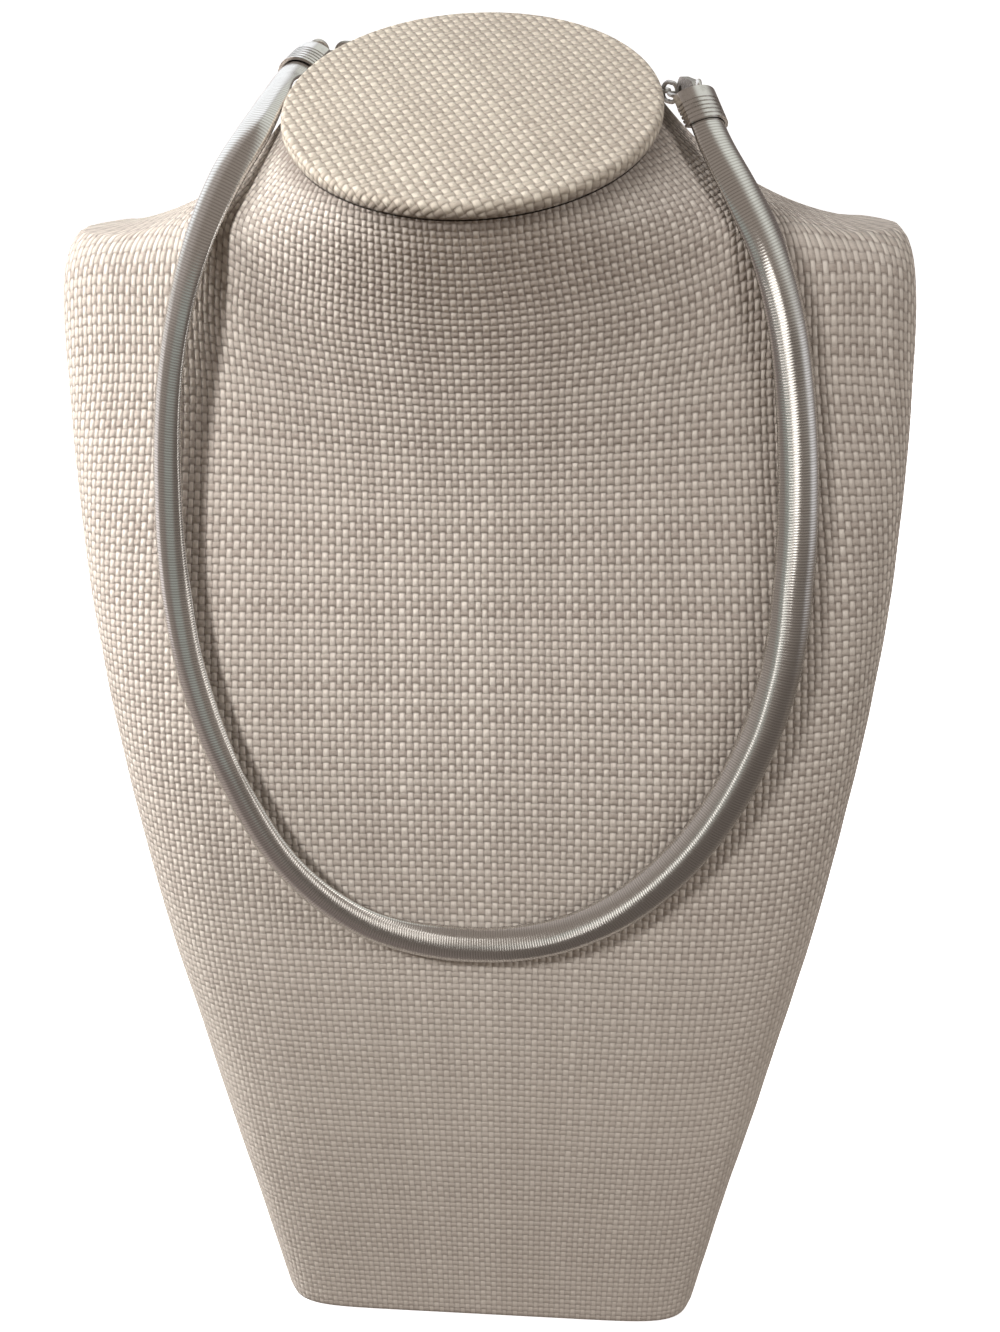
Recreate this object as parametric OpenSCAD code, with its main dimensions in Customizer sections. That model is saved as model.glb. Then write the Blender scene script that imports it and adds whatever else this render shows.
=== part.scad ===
// Omega necklace on a cloth-covered neck bust.
// Millimetres. The origin is the middle of the bust's base, +Z is up and the chest faces -Y.

/* [Neck bust] */
// Height of the tops of the shoulders above the base
trunk_h = 230; // [215:1:240]
// Width across the shoulders
shoulder_w = 160; // [150:1:172]
// Width of the base
base_w = 91; // [80:1:105]
// Depth of the trunk from front to back
trunk_d = 68; // [60:1:76]
// How far the root of the neck swells forward of the shoulders
swell_d = 20; // [14:1:24]
// Rounding of the cloth round the base's edge
base_round = 1.2; // [0.4:0.1:3]

/* [Neck] */
// Width of the neck under its cap
neck_w = 62.5; // [56:0.5:68]
// Height of the middle of the neck's top
neck_h = 247; // [244:0.5:256]
// How far the neck leans forward
neck_lean = 12; // [6:0.5:16]
// Tilt of the neck's top, front edge down
neck_tilt = 25.5; // [20:0.5:34]

/* [Neck cap] */
// How far the cap stands out past the neck
cap_lip = 0.5; // [0.2:0.1:1.2]
// Thickness of the cap
cap_t = 3.2; // [2:0.1:5]
// Radius of the cap's soft rim
cap_rim = 1.1; // [0.4:0.1:1.2]
// Seam between the neck and its cap
cap_seam = 0.3; // [0.2:0.05:0.5]

/* [Omega band] */
// Width of the band
band_w = 7.4; // [6:0.1:8]
// Height of the band's straight edge
band_edge = 0.4; // [0.3:0.05:0.7]
// Rise of the band's rounded front above its edge
band_dome = 2; // [1.4:0.1:2.6]

/* [End caps] */
// Depth of the pocket that holds the end of the band
pocket_d = 3.8; // [3:0.1:5]
// Clearance round the band in its pocket
pocket_gap = 0.15; // [0.1:0.01:0.25]
// Wall of the end cap round its pocket
end_wall = 0.55; // [0.4:0.05:0.8]
// Solid head of the end cap behind the pocket
end_head = 1.9; // [1.6:0.1:3]
// Ridges across the end cap
ridge_count = 5; // [3:1:6]
// Depth of the grooves between the ridges
ridge_depth = 0.2; // [0.1:0.02:0.3]
// Wire of the loop soldered to the end cap
loop_wire = 1; // [0.8:0.05:1.2]
// Hole of the loop
loop_hole = 2.6; // [2.3:0.1:3]

/* [Clasp and extender] */
// Wire of the jump ring
ring_wire = 0.9; // [0.7:0.05:1]
// Hole of the jump ring
ring_hole = 3.4; // [3.2:0.1:4]
// Length of the clasp
clasp_len = 13; // [12:0.1:14]
// Width of the clasp
clasp_w = 6; // [5.4:0.1:7]
// Thickness of the clasp
clasp_t = 1.4; // [1:0.1:1.6]
// Width of the clasp's eye
eye_w = 4.6; // [4.2:0.1:5]
// Hole in the clasp's eye
eye_hole = 2.6; // [2.4:0.1:2.8]
// Hole in the clasp's wide end
hook_hole = 3.2; // [2.8:0.1:3.4]
// Length of an extender link
link_len = 5; // [4.8:0.1:5.4]
// Width of an extender link
link_w = 4; // [3.8:0.1:4.4]
// Wire of an extender link
link_wire = 0.8; // [0.6:0.05:0.85]
// Least play between two links
link_play = 0.1; // [0.06:0.01:0.15]

/* [Hidden] */
linen = "#c3b6a5";
linen_top = "#cfc3b1";
steel = "#b9bcbb";
steel_dark = "#9a9c9b";

// Sections of the trunk from the base to the root of the neck, one row for each height.
// Columns: share of trunk_h, share of the flare from base to shoulder, share of half the depth
// in front, the same behind, squareness of the outline, share of swell_d
SECTIONS = [
  [0.000, 0.000, 1.03, 0.97, 9.0, 0.00],
  [0.130, 0.200, 1.03, 0.97, 7.0, 0.00],
  [0.270, 0.440, 1.03, 0.97, 5.0, 0.00],
  [0.410, 0.645, 1.00, 0.97, 4.6, 0.00],
  [0.560, 0.820, 0.92, 0.97, 4.2, 0.00],
  [0.690, 0.930, 0.80, 0.97, 3.9, 0.00],
  [0.800, 0.965, 0.68, 0.94, 3.7, 0.08],
  [0.875, 0.965, 0.60, 0.92, 3.6, 0.26],
  [0.925, 0.950, 0.56, 0.89, 3.6, 0.46],
  [0.960, 0.925, 0.52, 0.86, 3.5, 0.69],
  [0.980, 0.885, 0.45, 0.80, 3.4, 0.93],
  [0.990, 0.835, 0.37, 0.72, 3.3, 1.16]
];
section_steps = 3;
neck_steps = 8;
base_steps = 2;
around = 48;
swell_spread = 0.62;

// The middle of the band's flat back, chosen by hand from the right end down round the chest
// to the left end. Columns: x, y, z, and how far the face is turned outward, in degrees
BAND_ROUTE = [
  [37.5, -10.0, 248.0, 46], [40.5, -14.2, 241.8, 41], [44.8, -17.6, 234.6, 33], [49.3, -19.3, 226.1, 27],
  [52.9, -19.7, 215.4, 21], [55.3, -20.0, 202.7, 16], [56.7, -21.5, 187.8, 10], [56.8, -24.1, 170.7, 5],
  [54.9, -27.5, 152.1, 0], [48.9, -30.8, 134.1, -2], [39.0, -33.2, 118.0, -2], [26.0, -34.7, 106.0, 2],
  [11.3, -34.9, 99.4, 5], [-5.7, -34.8, 98.2, 12], [-22.2, -35.0, 102.7, 23], [-36.3, -34.3, 114.8, 30],
  [-46.4, -31.9, 132.9, 30], [-52.6, -28.5, 151.8, 29], [-54.9, -25.5, 170.1, 31], [-54.7, -23.6, 187.4, 36],
  [-52.9, -22.9, 203.2, 41], [-49.5, -22.8, 217.1, 43], [-45.4, -21.6, 228.6, 38], [-41.0, -18.6, 237.8, 30],
  [-37.0, -13.2, 244.6, 30], [-35.3, -5.3, 248.9, 38], [-34.5, 3.6, 251.8, 44], [-31.9, 10.5, 255.1, 46]
];
band_steps = 5;
dome_steps = 10;
// The way that the band's face looks where it isn't turned
FACE = [0, -0.97, 0.24];

// Points between the two end caps, round the back of the neck
BACK_ROUTE = [
  [37.4, -3.4, 249.6], [36.6, 4.0, 249.0], [32.8, 11.6, 249.8], [25.6, 16.8, 251.2], [16.5, 19.8, 252.8],
  [5.0, 21.2, 254.4], [-7.0, 21.3, 255.2], [-17.5, 20.0, 256.2], [-25.0, 17.2, 256.8]
];
back_steps = 8;

function unit(v) = v / norm(v);
function sum_to(v, n) = n <= 0 ? 0 : v[n - 1] + sum_to(v, n - 1);
function signed_power(v, p) = sign(v) * pow(abs(v), p);
function mix4(a, b, c, d, t) =
  (2 * b + (c - a) * t + (2 * a - 5 * b + 4 * c - d) * t * t + (3 * b - a - 3 * c + d) * t * t * t) / 2;
// A smooth curve through the rows of p, in any number of columns
function curve(p, steps) =
  let (n = len(p) - 1, e = concat([2 * p[0] - p[1]], p, [2 * p[n] - p[n - 1]]))
  concat(
    [for (i = [0:n - 1]) for (j = [0:steps - 1]) mix4(e[i], e[i + 1], e[i + 2], e[i + 3], j / steps)],
    [p[n]]
  );
function place(q) = [q[0], q[1], q[2]];
// Matrix that sets local x, y and z along the three given directions at point c
function frame_at(x, y, z, c) =
  [[x.x, y.x, z.x, c.x], [x.y, y.y, z.y, c.y], [x.z, y.z, z.z, c.z], [0, 0, 0, 1]];

// Share of the swell at x, k the share of the way to the front (-1) or back (1)
function swell_at(x, k) = exp(-pow(x / (swell_spread * neck_w), 2)) * max(-k, 0);
// One ring of the bust: half width w, middle line yw, front yf, back yb, squareness n, swell s.
// Each point is x, y and its share of the swell
function outline(w, yw, yf, yb, n, s) = [
  for (i = [0:around - 1])
    let (
      a = 360 * i / around,
      x = w * signed_power(cos(a), 2 / n),
      k = signed_power(sin(a), 2 / n),
      b = swell_at(x, k)
    )
    [x, yw + (k < 0 ? yw - yf : yb - yw) * k - s * b, b]
];
function flare_half(f) = base_w / 2 + (shoulder_w - base_w) / 2 * f;
function trunk_ring(row, inset, z) =
  let (
    yf = -row[2] * trunk_d / 2 + inset,
    yb = row[3] * trunk_d / 2 - inset,
    points = outline(flare_half(row[1]) - inset, (yf + yb) / 2, yf, yb, row[4], row[5] * swell_d)
  )
  [for (p = points) [p.x, p.y, z]];
// The neck leaves the shoulders level, and the swell in front rises straight to the cap
function neck_ring(u) =
  let (
    row = SECTIONS[len(SECTIONS) - 1],
    half_d = trunk_d / 2,
    w = flare_half(row[1]) * (1 - u) + neck_w / 2 * u,
    yf = -row[2] * half_d * (1 - u) - (neck_lean + neck_w / 2) * u,
    yb = row[3] * half_d * (1 - u) - (neck_lean - neck_w / 2) * u,
    yw = (row[3] - row[2]) * half_d / 2 * (1 - pow(u, 3)) - neck_lean * pow(u, 3)
  )
  [
    for (p = outline(w, yw, yf, yb, 2 + (row[4] - 2) * pow(1 - u, 2), row[5] * swell_d * (1 - u)))
      let (q = pow(u, 2 - p[2]), tilt = neck_tilt * q)
      [p.x, yw + (p.y - yw) * cos(tilt), row[0] * trunk_h * (1 - q) + neck_h * q + (p.y - yw) * sin(tilt)]
  ];
bust_rings = concat(
  [for (i = [0:base_steps - 1]) let (a = 90 * i / base_steps)
    trunk_ring(SECTIONS[0], base_round * (1 - sin(a)), base_round * (1 - cos(a)))],
  [for (row = curve(SECTIONS, section_steps)) trunk_ring(row, 0, max(row[0] * trunk_h, base_round))],
  [for (i = [1:neck_steps]) neck_ring(i / neck_steps)]
);

// Faces of a closed skin over n rings of m points each
function skin_faces(n, m) = concat(
  [[for (j = [0:m - 1]) j]],
  [
    for (i = [0:n - 2])
      for (j = [0:m - 1])
        let (k = (j + 1) % m, a = i * m, b = a + m)
        each [[a + j, b + j, b + k], [a + j, b + k, a + k]]
  ],
  [[for (j = [m - 1:-1:0]) (n - 1) * m + j]]
);

band_t = band_edge + band_dome;
dome_r = (pow(band_w / 2, 2) + pow(band_dome, 2)) / (2 * band_dome);
dome_y = band_t - dome_r;
dome_a = asin(band_w / 2 / dome_r);
band_curve = curve(BAND_ROUTE, band_steps);
band_last = len(band_curve) - 1;
// The band's frame at one point of its curve: place, outward width, face and run
function band_frame(k) =
  let (
    run = unit(place(band_curve[min(k + 1, band_last)]) - place(band_curve[max(k - 1, 0)])),
    n = unit(FACE - (run * FACE) * run),
    b = cross(n, run),
    a = band_curve[k][3]
  )
  [place(band_curve[k]), b * cos(a) - n * sin(a), n * cos(a) + b * sin(a), run];
band_outline = concat(
  [[-band_w / 2, 0]],
  [
    for (i = [0:dome_steps])
      let (a = dome_a * (2 * i / dome_steps - 1))
      [dome_r * sin(a), dome_y + dome_r * cos(a)]
  ],
  [[band_w / 2, 0]]
);

// Share of the end cap's pitch that is ridge, the rest is groove
ridge_share = 0.6;
// The two ends of the band as frames for the end caps, local z away from the band
right_end = band_frame(0);
left_end = band_frame(band_last);
right_frame = frame_at(-right_end[1], right_end[2], -right_end[3], right_end[0]);
left_frame = frame_at(left_end[1], left_end[2], left_end[3], left_end[0]);
end_off = pocket_gap + end_wall;
ridge_pitch = pocket_d / ridge_count;
ridge_w = ridge_pitch * ridge_share;
loop_mean = (loop_hole + loop_wire) / 2;
// Middle of each head's outer face, the way from there to the chain, and the middle of the loop.
// The loop's wire runs through the head, so that the solder joins them
head_off = pocket_gap + end_head;
right_head = right_end[0] - right_end[3] * head_off + right_end[2] * band_t / 2;
left_head = left_end[0] + left_end[3] * head_off + left_end[2] * band_t / 2;
right_way = unit(BACK_ROUTE[0] - right_head);
left_way = unit(BACK_ROUTE[len(BACK_ROUTE) - 1] - left_head);
right_loop = right_head + right_way * loop_mean;
left_loop = left_head + left_way * loop_mean;

// The chain's way round the back of the neck, from loop to loop
back_curve = curve(concat([right_loop], BACK_ROUTE, [left_loop]), back_steps);
back_lens = [for (i = [1:len(back_curve) - 1]) norm(back_curve[i] - back_curve[i - 1])];
function walk(s, i) =
  i >= len(back_lens) - 1 || s <= back_lens[i]
    ? back_curve[i] + (back_curve[i + 1] - back_curve[i]) * s / back_lens[i]
    : walk(s - back_lens[i], i + 1);
back_len = sum_to(back_lens, len(back_lens));

ring_half = ring_hole / 2;
eye_x = clasp_len / 2 - eye_w / 2;
hook_x = clasp_len / 2 - clasp_w / 2;
eye_half = eye_x + eye_hole / 2;
hook_half = hook_x + hook_hole / 2;
link_half = link_len / 2 - link_wire;
link_bend = (link_w - link_wire) / 2;
link_straight = link_len - link_w;
// Taut length from loop to loop with n links, and the contacts that share the slack
function taut_len(n) = loop_hole + 2 * ring_half + eye_half + hook_half + 2 * link_half * n;
function contacts(n) = n + 3;
// The count is odd, so that the last link lies flat through the upright loop
function fit_count(n) = taut_len(n) - contacts(n) * link_play >= back_len ? n : fit_count(n + 2);
link_count = fit_count(1);
play = (taut_len(link_count) - back_len) / contacts(link_count);
ring_s = loop_hole / 2 + ring_half - play;
clasp_s = ring_s + ring_half + eye_half - play;
link_s = clasp_s + hook_half + link_half - play;
link_step = 2 * link_half - play;

// Frame of a straight piece whose two ends lie on the chain's way, half before s and half after.
// A flat piece lies in the level plane, an upright one stands on edge
function run_frame(s, half, upright) =
  let (
    a = walk(s - half, 0),
    b = walk(s + half, 0),
    t = unit(b - a),
    h = unit(cross([0, 0, 1], t)),
    v = cross(t, h)
  )
  upright ? frame_at(t, v, -h, (a + b) / 2) : frame_at(t, h, v, (a + b) / 2);
// Frame of a loop at c, on edge and in line with the chain's direction t
function upright_frame(c, t) = let (h = unit(cross([0, 0, 1], t))) frame_at(t, cross(t, h), -h, c);

function link_name(i) = str("link_", i < 10 ? "0" : "", i);
$fn = 48;

module bust_body() {
  color(linen)
    polyhedron([for (r = bust_rings) each r], skin_faces(len(bust_rings), around), convexity = 6);
}

// Round disc with a soft rim, seated over the neck's tilted top
module neck_cap() {
  cap_r = neck_w / 2 + cap_lip;
  color(linen_top)
    translate([0, -neck_lean, neck_h])
      rotate([neck_tilt, 0, 0])
        translate([0, 0, cap_seam])
          union() {
            cylinder(r = cap_r - cap_rim, h = cap_t, $fn = 96);
            translate([0, 0, cap_rim])
              cylinder(r = cap_r, h = cap_t - 2 * cap_rim, $fn = 96);
            for (z = [cap_rim, cap_t - cap_rim])
              translate([0, 0, z])
                rotate_extrude($fn = 96)
                  translate([cap_r - cap_rim, 0])
                    circle(r = cap_rim);
          }
}

module omega_band() {
  rings = [
    for (k = [0:band_last])
      let (f = band_frame(k))
      [for (p = band_outline) f[0] + p.x * f[1] + p.y * f[2]]
  ];
  color(steel)
    polyhedron([for (r = rings) each r], skin_faces(len(rings), len(band_outline)), convexity = 8);
}

// The band's section grown by off on every side
module band_section(off) {
  intersection() {
    translate([0, dome_y])
      circle(r = dome_r + off, $fn = 96);
    translate([-band_w / 2 - off, -off])
      square([band_w + 2 * off, band_t + 2 * off]);
  }
}

module wire_ring(hole, wire) {
  rotate_extrude()
    translate([(hole + wire) / 2, 0])
      circle(d = wire, $fn = 24);
}

// Ribbed sleeve with a pocket for the band, a solid head and a soldered loop
module end_cap(sleeve_frame, loop_frame) {
  color(steel) {
    multmatrix(sleeve_frame)
      difference() {
        union() {
          translate([0, 0, -pocket_d])
            linear_extrude(pocket_d + head_off)
              band_section(end_off - ridge_depth);
          for (i = [0:ridge_count - 1])
            translate([0, 0, -pocket_d + i * ridge_pitch])
              linear_extrude(ridge_w)
                band_section(end_off);
          linear_extrude(head_off)
            band_section(end_off);
        }
        translate([0, 0, -2 * pocket_d])
          linear_extrude(2 * pocket_d + pocket_gap)
            band_section(pocket_gap);
      }
    multmatrix(loop_frame)
      wire_ring(loop_hole, loop_wire);
  }
}

module end_cap_right() {
  end_cap(right_frame, upright_frame(right_loop, right_way));
}

module end_cap_left() {
  end_cap(left_frame, upright_frame(left_loop, left_way));
}

module jump_ring() {
  color(steel_dark)
    multmatrix(run_frame(ring_s, ring_half, false))
      wire_ring(ring_hole, ring_wire);
}

// Flat plate that stands on edge, an eye at the jump ring and a wide end with the hook's hole
module clasp() {
  color(steel_dark)
    multmatrix(run_frame(clasp_s, clasp_len / 2, true))
      translate([0, 0, -clasp_t / 2])
        linear_extrude(clasp_t)
          difference() {
            union() {
              translate([-eye_x, 0])
                circle(d = eye_w);
              translate([hook_x, 0])
                circle(d = clasp_w);
              polygon([
                [-eye_x, -eye_w / 2],
                [hook_x, -clasp_w / 2],
                [hook_x, clasp_w / 2],
                [-eye_x, eye_w / 2]
              ]);
            }
            translate([-eye_x, 0])
              circle(d = eye_hole);
            translate([hook_x, 0])
              circle(d = hook_hole);
          }
}

// Oval link: two half rings joined by two straight wires
module link(i) {
  color(steel_dark)
    multmatrix(run_frame(link_s + (i - 1) * link_step, link_half, i % 2 == 0))
      union() {
        for (side = [0, 1])
          rotate([0, 0, 180 * side])
            translate([link_straight / 2, 0, 0])
              rotate([0, 0, -90])
                rotate_extrude(angle = 180)
                  translate([link_bend, 0])
                    circle(d = link_wire, $fn = 24);
        for (side = [-1, 1])
          translate([-link_straight / 2, side * link_bend, 0])
            rotate([0, 90, 0])
              cylinder(d = link_wire, h = link_straight, $fn = 24);
      }
}

bust_body();
neck_cap();
omega_band();
end_cap_right();
end_cap_left();
jump_ring();
clasp();
for (i = [1:link_count])
  link(i);
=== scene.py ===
import math

import bpy
import numpy as np
from mathutils import Matrix, Vector


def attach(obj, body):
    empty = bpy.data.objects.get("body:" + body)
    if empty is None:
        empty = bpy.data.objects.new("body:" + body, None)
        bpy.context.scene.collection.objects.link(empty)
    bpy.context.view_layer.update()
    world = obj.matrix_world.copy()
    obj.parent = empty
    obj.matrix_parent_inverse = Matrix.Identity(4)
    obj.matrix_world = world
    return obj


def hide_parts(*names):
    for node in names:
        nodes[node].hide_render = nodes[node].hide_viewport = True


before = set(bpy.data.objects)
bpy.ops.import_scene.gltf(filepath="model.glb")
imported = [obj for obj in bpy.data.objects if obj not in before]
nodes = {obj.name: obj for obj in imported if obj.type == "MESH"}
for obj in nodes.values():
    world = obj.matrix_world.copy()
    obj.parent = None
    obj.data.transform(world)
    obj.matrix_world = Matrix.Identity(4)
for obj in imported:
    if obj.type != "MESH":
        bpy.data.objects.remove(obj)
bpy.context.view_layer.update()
scene = bpy.context.scene
mm = 0.001
print("frame loaded:", len(nodes), "parts")


def makeObject(name, points, faces):
    # a smooth-shaded mesh, its points in metres and its faces all quads
    mesh = bpy.data.meshes.new(name)
    points = np.asarray(points, np.float32)
    faces = np.asarray(faces, np.int32)
    corners = faces.shape[1]
    mesh.vertices.add(len(points))
    mesh.vertices.foreach_set("co", points.ravel())
    mesh.loops.add(faces.size)
    mesh.loops.foreach_set("vertex_index", faces.ravel())
    mesh.polygons.add(len(faces))
    mesh.polygons.foreach_set("loop_start", np.arange(0, faces.size, corners, dtype=np.int32))
    mesh.polygons.foreach_set("loop_total", np.full(len(faces), corners, np.int32))
    mesh.polygons.foreach_set("use_smooth", np.full(len(faces), True))
    mesh.update(calc_edges=True)
    mesh.validate()
    obj = bpy.data.objects.new(name, mesh)
    scene.collection.objects.link(obj)
    return obj


def gridFaces(rows, columns, closed):
    # quads over rows x columns points; closed joins the last column to the first
    row = np.arange(rows - 1)[:, None] * columns
    column = np.arange(columns if closed else columns - 1)[None, :]
    after = (column + 1) % columns
    quads = np.stack([row + column, row + after, row + columns + after, row + columns + column], -1)
    return quads.reshape(-1, 4)


def addVectors(obj, name, values, domain="POINT"):
    attribute = obj.data.attributes.new(name, "FLOAT_VECTOR", domain)
    attribute.data.foreach_set("vector", np.asarray(values, np.float32).ravel())


def unit(vectors):
    return vectors / np.linalg.norm(vectors, axis=-1, keepdims=True)


def throughPoints(rows, steps):
    # the smooth curve of the part's source through rows of numbers, steps points to a span
    rows = np.asarray(rows, float)
    ends = np.vstack([2 * rows[0] - rows[1], rows, 2 * rows[-1] - rows[-2]])
    out = []
    for k in range(len(rows) - 1):
        a, b, c, d = ends[k : k + 4]
        for t in np.arange(steps) / steps:
            point = 2 * b + (c - a) * t + (2 * a - 5 * b + 4 * c - d) * t**2
            point = point + (3 * b - a - 3 * c + d) * t**3
            out.append(point / 2)
    return np.array(out + [rows[-1]])


def smoothStep(low, high, x):
    t = np.clip((x - low) / (high - low), 0, 1)
    return t * t * (3 - 2 * t)


def runningLength(x, y):
    # the way along a line of points
    return np.concatenate([[0], np.cumsum(np.hypot(np.diff(x), np.diff(y)))])


class Socket:
    # wraps one output, so that shader maths reads as plain expressions
    def __init__(self, shader, out):
        self.shader = shader
        self.out = out

    def maths(self, operation, *others):
        return self.shader.maths(operation, self, *others)

    def __add__(self, other):
        return self.maths("ADD", other)

    def __radd__(self, other):
        return self.maths("ADD", other)

    def __sub__(self, other):
        return self.maths("SUBTRACT", other)

    def __rsub__(self, other):
        return self.shader.maths("SUBTRACT", other, self)

    def __mul__(self, other):
        return self.maths("MULTIPLY", other)

    def __rmul__(self, other):
        return self.maths("MULTIPLY", other)

    def __truediv__(self, other):
        return self.maths("DIVIDE", other)

    def __rtruediv__(self, other):
        return self.shader.maths("DIVIDE", other, self)


class Shader:
    # the nodes of one material, or of the world
    def __init__(self, owner):
        owner.use_nodes = True
        self.owner = owner
        self.tree = owner.node_tree

    def link(self, socket, value):
        if isinstance(value, Socket):
            self.tree.links.new(value.out, socket)
        elif socket.type == "RGBA":
            socket.default_value = (*value, 1.0)
        else:
            socket.default_value = value

    def node(self, kind, settings, inputs, output=0):
        made = self.tree.nodes.new(kind)
        for key, value in settings.items():
            setattr(made, key, value)
        for key, value in inputs.items():
            self.link(made.inputs[key], value)
        return Socket(self, made.outputs[output])

    def maths(self, operation, *values):
        return self.node("ShaderNodeMath", dict(operation=operation), dict(enumerate(values)))

    def coordinates(self, kind):
        return self.node("ShaderNodeTexCoord", {}, {}, kind)

    def parts(self, vector):
        split = self.node("ShaderNodeSeparateXYZ", {}, {0: vector})
        return [Socket(self, out) for out in split.out.node.outputs]

    def attribute(self, name):
        return self.parts(self.node("ShaderNodeAttribute", dict(attribute_name=name), {}, "Vector"))

    def ramp(self, value, low, high, toLow=0.0, toHigh=1.0):
        # a soft step from toLow to toHigh
        inputs = {0: value, 1: low, 2: high, 3: toLow, 4: toHigh}
        return self.node("ShaderNodeMapRange", dict(interpolation_type="SMOOTHSTEP"), inputs)

    def vector(self, x, y, z=0.0):
        return self.node("ShaderNodeCombineXYZ", {}, {0: x, 1: y, 2: z})

    def noise(self, vector, scale, detail=2.0, roughness=0.5):
        inputs = {"Vector": vector, "Scale": scale, "Detail": detail, "Roughness": roughness}
        return self.node("ShaderNodeTexNoise", {}, inputs)

    def random(self, value):
        return self.node("ShaderNodeTexWhiteNoise", dict(noise_dimensions="1D"), {"W": value})

    def mix(self, factor, a, b, blend="MIX"):
        # inputs 6 and 7 and output 2 are a Mix node's colour sockets
        settings = dict(data_type="RGBA", blend_type=blend)
        return self.node("ShaderNodeMix", settings, {0: factor, 6: a, 7: b}, 2)

    def clamp(self, value):
        return self.node("ShaderNodeClamp", {}, {0: value})

    def bump(self, height, distance, strength=1.0):
        return self.node("ShaderNodeBump", {}, {"Height": height, "Distance": distance, "Strength": strength})

    def surface(self, values):
        # sets the material's own shader by the names of its sockets
        for key, value in values.items():
            self.link(self.tree.nodes["Principled BSDF"].inputs[key], value)
        return self.owner


# the camera: place in mm, turns in degrees, focal length and height in pixels, sensor in mm, range in metres
camera = dict(
    place=(24.62, -269.23, 260.41), yaw=-4.75, pitch=23.72, roll=-0.84,
    focal=1450.0, imageHeight=1332.0, sensor=36.0, near=0.01, far=20.0,
)


def buildCamera():
    c = camera
    yaw, pitch, roll = (math.radians(c[key]) for key in ("yaw", "pitch", "roll"))
    forward = Vector((math.sin(yaw) * math.cos(pitch), math.cos(yaw) * math.cos(pitch), -math.sin(pitch)))
    level = Vector((math.cos(yaw), -math.sin(yaw), 0))
    upright = level.cross(forward)
    right = level * math.cos(roll) + upright * math.sin(roll)
    up = upright * math.cos(roll) - level * math.sin(roll)
    data = bpy.data.cameras.new("camera")
    data.sensor_fit = "AUTO"
    data.sensor_width = c["sensor"]
    data.lens = c["focal"] * c["sensor"] / c["imageHeight"]
    data.clip_start = c["near"]
    data.clip_end = c["far"]
    obj = bpy.data.objects.new("camera", data)
    turned = Matrix((right, up, -forward)).transposed()
    obj.matrix_world = Matrix.Translation(Vector(c["place"]) * mm) @ turned.to_4x4()
    scene.collection.objects.link(obj)
    scene.camera = obj


# the studio: lengths in metres where nothing else is said
studio = dict(
    floorColour=(0.93, 0.93, 0.93), floorGlow=0.85, floorRoughness=0.9, backdrop=(1.0, 1.0, 1.0),
    mottleScale=3.0, mottleShade=0.985,
    floorFront=1.5, floorBack=1.3, floorWide=2.4, wallHeight=1.8, floorBend=0.5, floorDrop=0.0002,
    bendSteps=13, floorColumns=9,
    # turn from the front to the right, height above the horizon, distance, size, power in W
    lamps=dict(
        key=(-42, 38, 0.75, 0.15, 3.7), left=(-92, 22, 0.80, 0.35, 7.0), right=(72, 14, 1.4, 0.50, 7.5),
        back=(160, 12, 1.2, 0.50, 9.0),
    ),
    aim=(0.0, 0.0, 0.15),
    # a soft pool of light on the left of the chest, its cone in degrees
    pool=dict(
        arm=(-42, 38, 0.75), size=0.10, power=14.0, cone=8.0, softness=1.0, aim=(-0.052, -0.026, 0.190),
    ),
    # soft light from all round on the cloth, which changes over this height of the view
    ambientUpper=(0.20, 0.185, 0.175), ambientLower=(0.165, 0.125, 0.092), horizon=0.15,
    # the room as it mirrors in the polish: turn from and to, height from and to, soft edge, all in degrees,
    # then brightness and colour; the edge above and below is the share heightEdge of it
    mirrorBase=(0.29, 0.25, 0.22), heightEdge=0.5,
    mirrored=[
        (-228, -25, -65, -19, 19, 0.42, (1.0, 0.85, 0.78)), (-66, -16, -102, -6, 15, 0.21, (1.0, 0.83, 0.76)),
        (-14, 82, -102, -2, 16, 0.14, (1.0, 0.85, 0.75)), (80, 206, -95, -16, 18, 0.17, (1.0, 0.85, 0.72)),
        (73, 107, -9, 5, 13, 1.10, (0.97, 0.97, 1.0)), (54, 195, 6, 108, 24, 0.82, (0.98, 1.0, 0.94)),
        (-50, -12, -14, 6, 8, 0.36, (0.95, 1.0, 0.93)), (-170, -92, -20, 28, 7, 1.05, (1.0, 0.92, 0.91)),
        (-150, -56, 3, 87, 22, 0.47, (1.0, 0.90, 0.84)), (-124, -105, -11, 97, 23, 0.88, (1.0, 1.0, 0.97)),
        (93, 178, -7, 34, 31, 0.18, (1.0, 0.84, 0.78)), (-176, -109, 10, 79, 13, 1.33, (0.94, 0.97, 1.0)),
    ],
    # strip lights close in front, for the line along the polish: x, z of both ends, width in mm, brightness
    stripDistance=130.0, stripColour=(1.0, 0.97, 0.92),
    strips=dict(
        upper=(92, 226, 50, 184, 40, 1.45), middle=(62, 184, -10, 162, 12, 1.10),
        lower=(0, 158, 8, 60, 12, 1.15),
    ),
)


def towards(turn, height):
    turn, height = math.radians(turn), math.radians(height)
    return Vector((math.sin(turn) * math.cos(height), -math.cos(turn) * math.cos(height), math.sin(height)))


def hangLamp(name, data, aim, turn, height, distance):
    # a lamp that faces its aim and lights the cloth, but doesn't mirror in the polish
    obj = bpy.data.objects.new(name, data)
    way = towards(turn, height)
    obj.location = Vector(aim) + way * distance
    obj.rotation_mode = "QUATERNION"
    obj.rotation_quaternion = way.to_track_quat("Z", "Y")
    obj.visible_glossy = False
    scene.collection.objects.link(obj)


def addLamp(name, turn, height, distance, size, power):
    data = bpy.data.lights.new(name, "AREA")
    data.energy = power
    data.shape = "DISK"
    data.size = size
    hangLamp(name, data, studio["aim"], turn, height, distance)


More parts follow.
